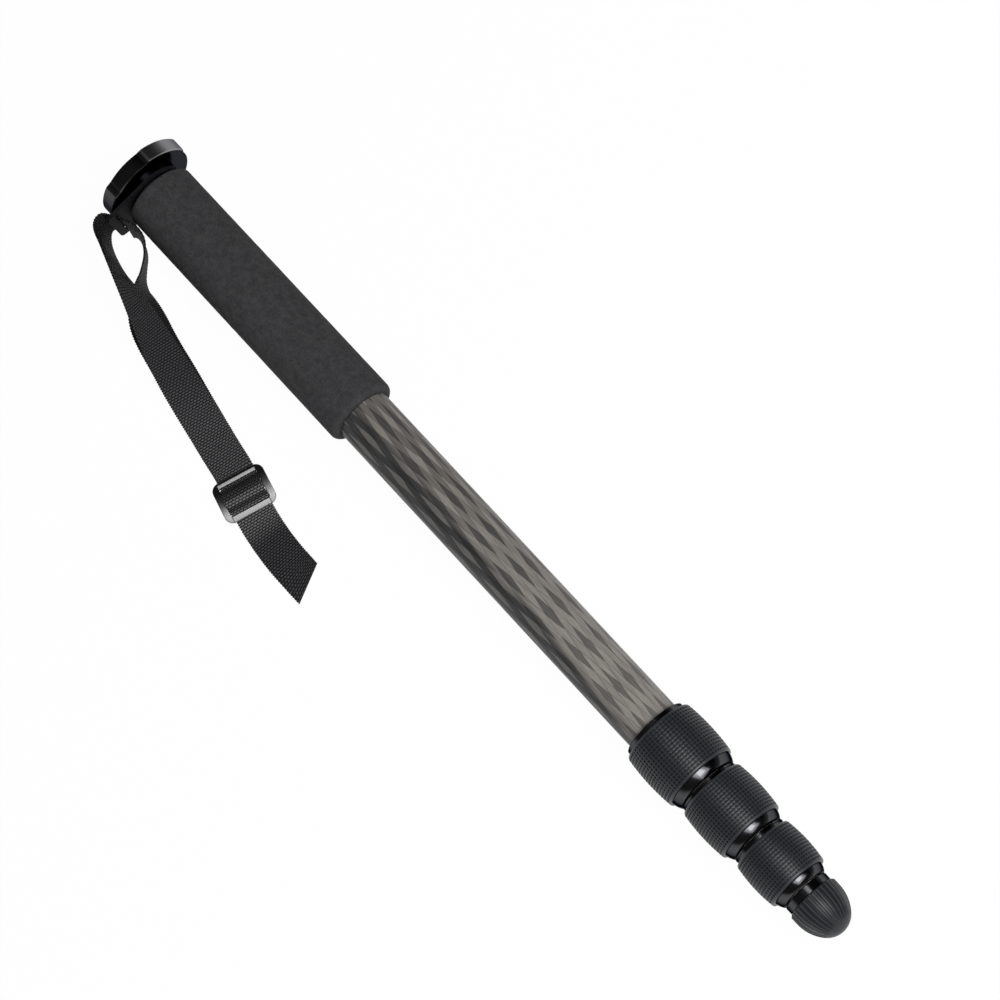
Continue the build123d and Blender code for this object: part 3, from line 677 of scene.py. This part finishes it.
# Rubber sleeves with their waffle of square pits, bent round the nuts
def waffle_tree():
    """Geometry nodes: a grid of square pits, bent round the long axis and joined to its base."""
    tree = bpy.data.node_groups.new("waffle_sleeve", "GeometryNodeTree")
    face = tree.interface
    face.new_socket("Geometry", in_out="INPUT", socket_type="NodeSocketGeometry")
    for name in ("Start", "Length", "Radius", "Barrel", "Pit Share", "Pit Depth", "Saddle"):
        face.new_socket(name, in_out="INPUT", socket_type="NodeSocketFloat")
    for name in ("Rows Along", "Rows Round"):
        face.new_socket(name, in_out="INPUT", socket_type="NodeSocketInt")
    face.new_socket("Finish", in_out="INPUT", socket_type="NodeSocketMaterial")
    face.new_socket("Geometry", in_out="OUTPUT", socket_type="NodeSocketGeometry")
    given = put(tree, "NodeGroupInput").outputs

    # A flat grid, each of its faces sunk to a pit with sloping sides
    grid = put(tree, "GeometryNodeMeshGrid", {
        "Size X": given["Length"], "Size Y": product(tree, given["Radius"], math.tau),
        "Vertices X": maths(tree, "ADD", given["Rows Along"], 1.0),
        "Vertices Y": maths(tree, "ADD", given["Rows Round"], 1.0),
    })
    rim = put(tree, "GeometryNodeExtrudeMesh", {
        "Mesh": grid.outputs["Mesh"], "Offset Scale": 0.0, "Individual": True,
    }, mode="FACES")
    inset = put(tree, "GeometryNodeScaleElements", {
        "Geometry": rim.outputs["Mesh"], "Selection": rim.outputs["Top"], "Scale": given["Pit Share"],
    })
    sink = put(tree, "GeometryNodeExtrudeMesh", {
        "Mesh": inset.outputs[0], "Selection": rim.outputs["Top"], "Individual": True,
        "Offset Scale": product(tree, given["Pit Depth"], -1.0),
    }, mode="FACES")
    floor = put(tree, "GeometryNodeScaleElements", {
        "Geometry": sink.outputs["Mesh"], "Selection": sink.outputs["Top"], "Scale": PIT_FLOOR_SHARE,
    })
    sunk = put(tree, "FunctionNodeBooleanMath", {
        0: sink.outputs["Top"], 1: sink.outputs["Side"],
    }, operation="OR")
    marked = put(tree, "GeometryNodeStoreNamedAttribute", {
        "Geometry": floor.outputs[0], "Selection": sunk.outputs[0], "Name": "hollow", "Value": 1.0,
    }, data_type="FLOAT", domain="FACE")
    halved = put(tree, "GeometryNodeSubdivideMesh", {"Mesh": marked.outputs[0], "Level": 1})

    # Bent round the axis, slimmer towards the ends, and low between the crossings of the grid
    from_centre, girthwise, height = parted(tree, put(tree, "GeometryNodeInputPosition").outputs[0])
    share = maths(tree, "DIVIDE", product(tree, from_centre, 2.0), given["Length"])
    bulge = product(tree, product(tree, share, share), given["Barrel"])
    row = product(tree, maths(tree, "MULTIPLY_ADD", share, 0.5, 0.5), given["Rows Along"])
    wave = maths(tree, "SINE", product(tree, row, math.pi))
    saddle = product(tree, product(tree, wave, wave), given["Saddle"])
    surface_height = maths(tree, "SUBTRACT", height, saddle)
    radius = maths(tree, "SUBTRACT", maths(tree, "ADD", given["Radius"], surface_height), bulge)
    angle = maths(tree, "DIVIDE", girthwise, given["Radius"])
    middle = maths(tree, "ADD", given["Start"], product(tree, given["Length"], 0.5))
    bent = put(tree, "ShaderNodeCombineXYZ", {
        0: maths(tree, "ADD", from_centre, middle),
        1: product(tree, radius, maths(tree, "SINE", angle)),
        2: product(tree, radius, maths(tree, "COSINE", angle)),
    })
    wrapped = put(tree, "GeometryNodeSetPosition", {
        "Geometry": halved.outputs[0], "Position": bent.outputs[0],
    })
    welded = put(tree, "GeometryNodeMergeByDistance", {
        "Geometry": wrapped.outputs[0], "Distance": WELD_REACH,
    })
    tipped = put(tree, "GeometryNodeTransform", {
        "Geometry": welded.outputs[0], "Rotation": (0.0, FALL, 0.0),
    })
    joined = put(tree, "GeometryNodeJoinGeometry")
    tree.links.new(tipped.outputs[0], joined.inputs[0])
    tree.links.new(given["Geometry"], joined.inputs[0])
    real = put(tree, "GeometryNodeRealizeInstances", {"Geometry": joined.outputs[0]})
    dressed = put(tree, "GeometryNodeSetMaterial", {"Geometry": real.outputs[0], "Material": given["Finish"]})
    out = put(tree, "NodeGroupOutput")
    tree.links.new(dressed.outputs[0], out.inputs[0])
    return tree


def made_plain(piece, tree, inputs):
    """Run a geometry tree on a piece and keep its result as a plain mesh."""
    modifier = piece.modifiers.new("make", "NODES")
    modifier.node_group = tree
    for socket in tree.interface.items_tree:
        if socket.item_type == "SOCKET" and socket.in_out == "INPUT" and socket.name in inputs:
            modifier[socket.identifier] = inputs[socket.name]
    bpy.context.view_layer.update()
    ready = piece.evaluated_get(bpy.context.evaluated_depsgraph_get())
    mesh = bpy.data.meshes.new_from_object(ready)
    piece.modifiers.remove(modifier)
    piece.data = mesh


def sleeve_base(start, end, radius, shell):
    """The profile of a sleeve without its waffle: a rounded lip at each end and a bed between them."""
    low = radius - LIP_DROP
    lip = [
        (0.0, shell + SHELL_GAP), (0.0, low - LIP_CHAMFER), (LIP_CORNER[0], low - LIP_CORNER[1]),
        (LIP_CHAMFER, low), (SLEEVE_LIP, low + LIP_RISE), (SLEEVE_LIP, low - BED_DROP),
    ]
    return [(start + inset, r) for inset, r in lip] + [(end - inset, r) for inset, r in reversed(lip)]


waffle = waffle_tree()
for number, (start, end, radius, shell, rows) in enumerate(SLEEVES, 1):
    sleeve = lathed(f"waffle_sleeve_{number}", sleeve_base(start, end, radius, shell), 120, lock_rubber)
    for polygon in sleeve.data.polygons:
        polygon.use_smooth = False
    made_plain(sleeve, waffle, {
        "Start": start + SLEEVE_LIP, "Length": end - start - 2 * SLEEVE_LIP,
        "Radius": radius, "Barrel": SLEEVE_BARREL, "Rows Along": rows, "Rows Round": PITS_ROUND,
        "Pit Share": PIT_SHARE, "Pit Depth": PIT_DEPTH, "Saddle": SADDLE_DEPTH, "Finish": lock_rubber,
    })
    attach(sleeve, f"nut_{number}")
    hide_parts(f"lock_grip_{number}")


# Camera stud with its rolled thread, its captive flange and its smaller tail
def thread_radius(along, turn):
    """The thread's radius at a share of a turn. It fades out at the platform and is chamfered at the tip."""
    phase = (along / THREAD_PITCH - turn) % 1.0
    slope = THREAD_STEEPNESS * (1.0 - abs(2.0 * phase - 1.0))
    groove = max(0.0, min(1.0, slope - THREAD_CREST))
    fade = min(1.0, max(0.0, -along / THREAD_FADE))
    radius = THREAD_RADIUS - THREAD_DEPTH * groove * fade
    return min(radius, THREAD_RADIUS - TIP_CHAMFER + (along - STUD_TIP))


def threaded_stud():
    """The stud as one closed piece, from the thread's tip to the end of its tail."""
    turns = [k / STUD_STEPS for k in range(STUD_STEPS)]
    stations = []
    for k in range(STUD_STATIONS):
        along = STUD_TIP + STUD_STATION_STEP * k
        stations.append((along, [thread_radius(along, turn) for turn in turns]))
    for along, radius in STUD_BELOW:
        stations.append((along, [radius] * STUD_STEPS))
    rings = [
        [along_axis @ axis_point(along, radius, math.tau * turn) for radius, turn in zip(radii, turns)]
        for along, radii in stations
    ]
    stud = ring_mesh("threaded_camera_stud", rings, steel, smooth_ends=False)
    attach(stud, "upper_section")
    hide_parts("camera_stud")


threaded_stud()

# Finishes of the CAD nodes that stay
dress = {
    "camera_platform": gloss_black, "head_plug": gloss_black, "foot_plug": gloss_black,
    "platform_pad": pad_rubber, "foot_stud": steel, "rubber_foot": foot_rubber,
    "strap_ring": ring_black, "strap_slider": gunmetal, "upper_tube": carbon,
}
for number in (1, 2, 3):
    dress[f"ferrule_{number}"] = gloss_black
    dress[f"lock_nut_{number}"] = gloss_black
    dress[f"lock_collet_{number}"] = moulded
    dress[f"lock_seal_{number}"] = seal_rubber
    dress[f"leg_tube_{number + 1}"] = carbon
    for side in ("upper", "lower"):
        dress[f"guide_shell_{number + 1}_{side}"] = moulded
for node, finish in dress.items():
    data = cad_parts[node].data
    data.materials.clear()
    data.materials.append(finish)


# Camera, at the photograph's viewing angle
def add_camera():
    lens = bpy.data.cameras.new("photo_camera")
    lens.lens = 130.98
    lens.sensor_width = 36.0
    lens.clip_start = 0.05
    lens.clip_end = 60.0
    camera = bpy.data.objects.new("photo_camera", lens)
    scene.collection.objects.link(camera)
    right = Vector((0.65040736, 0.73284527, -0.19977005))
    up = Vector((-0.69549287, 0.68029851, 0.23126521))
    turn = Matrix((right, up, right.cross(up))).transposed().to_4x4()
    camera.matrix_world = Matrix.Translation((0.766656, 0.000024, 1.618796)) @ turn
    scene.camera = camera


# White table and plain studio light
def add_table():
    """A table that shows as near white, and that lights and is lit as white paint."""
    table = bpy.data.meshes.new("studio_floor")
    corners = [(x * TABLE_REACH, y * TABLE_REACH, SURFACE) for x, y in ((-1, -1), (1, -1), (1, 1), (-1, 1))]
    table.from_pydata(corners, [], [(0, 1, 2, 3)])
    floor = bpy.data.objects.new("studio_floor", table)
    scene.collection.objects.link(floor)
    white = bpy.data.materials.new("studio_white")
    white.use_nodes = True
    tree = white.node_tree
    tree.nodes.clear()
    paint = put(tree, "ShaderNodeBsdfDiffuse", {"Color": (0.95, 0.95, 0.95, 1.0)})
    glow = put(tree, "ShaderNodeEmission", {"Color": (1.0, 1.0, 1.0, 1.0), "Strength": 1.0})
    ray = put(tree, "ShaderNodeLightPath")
    mirrored = maths(tree, "MAXIMUM", ray.outputs["Is Glossy Ray"], ray.outputs["Is Transmission Ray"])
    seen = maths(tree, "MAXIMUM", ray.outputs["Is Camera Ray"], mirrored)
    mix = put(tree, "ShaderNodeMixShader", {0: product(tree, seen, TABLE_GLOW)})
    tree.links.new(paint.outputs[0], mix.inputs[1])
    tree.links.new(glow.outputs[0], mix.inputs[2])
    out = put(tree, "ShaderNodeOutputMaterial")
    tree.links.new(mix.outputs[0], out.inputs[0])
    table.materials.append(white)


def add_room():
    """A room that is bright low down and dim overhead, and dimmer on the +Y side."""
    world = bpy.data.worlds.new("studio_room")
    scene.world = world
    world.use_nodes = True
    tree = world.node_tree
    tree.nodes.clear()
    _, side, up = parted(tree, put(tree, "ShaderNodeTexCoord").outputs["Generated"])
    room = product(tree, graded(tree, up, 0.10, 0.40, 0.75, 0.07), graded(tree, side, -0.2, 0.5, 1.1, 0.25))
    sky = put(tree, "ShaderNodeBackground", {"Color": (1.0, 1.0, 1.0, 1.0), "Strength": room})
    out = put(tree, "ShaderNodeOutputWorld")
    tree.links.new(sky.outputs[0], out.inputs[0])


def softbox(name, offset, towards, wide, deep, radiance):
    """A rectangular lamp of a plain radiance that faces a point, at an offset from it."""
    lamp = bpy.data.lights.new(name, "AREA")
    lamp.shape = "RECTANGLE"
    lamp.size = wide
    lamp.size_y = deep
    lamp.energy = radiance * math.pi * wide * deep
    light = bpy.data.objects.new(name, lamp)
    scene.collection.objects.link(light)
    place = Vector(towards) + Vector(offset)
    facing = (Vector(towards) - place).to_track_quat("-Z", "Y")
    light.matrix_world = Matrix.Translation(place) @ facing.to_matrix().to_4x4()


add_camera()
add_table()
add_room()
softbox("overhead_softbox", (0.688, 0.256, 1.44), (0.25, 0.0, 0.0), wide=1.16, deep=1.63, radiance=3.0)
softbox("softbox_core", (0.684, 0.2545, 1.4316), (0.25, 0.0, 0.0), wide=0.60, deep=0.82, radiance=5.6)

scene.view_settings.view_transform = "Standard"
